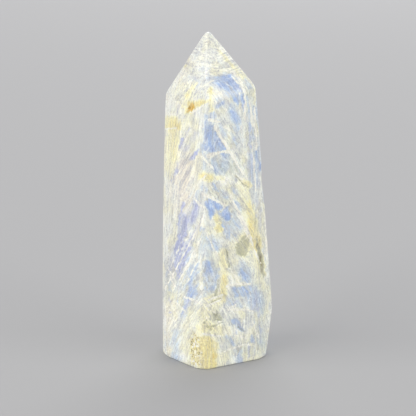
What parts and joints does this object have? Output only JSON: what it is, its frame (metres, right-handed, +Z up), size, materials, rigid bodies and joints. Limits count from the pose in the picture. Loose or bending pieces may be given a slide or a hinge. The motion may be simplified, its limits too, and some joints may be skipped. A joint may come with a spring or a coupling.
{
  "type": "polished kyanite point",
  "caption": "Free-standing polished kyanite point: an irregular faceted tower with a pointed crown, a flat foot, bevelled edges, blade flutes and small natural pits.",
  "frame": {"origin": "under the middle of the stone's box, on the plane it stands on", "axes": "+Z up through the tip, -Y towards the front edge between the two widest front faces, +X to the right as seen from the front"},
  "size_m": [0.03, 0.0272, 0.0889],
  "materials": {
    "kyanite": "polished pearly white and cream kyanite with bladed blue patches, white cleavage veins and golden iron stain"
  },
  "bodies": {
    "root": {"kyanite_point": "kyanite"}
  },
  "joints": []
}
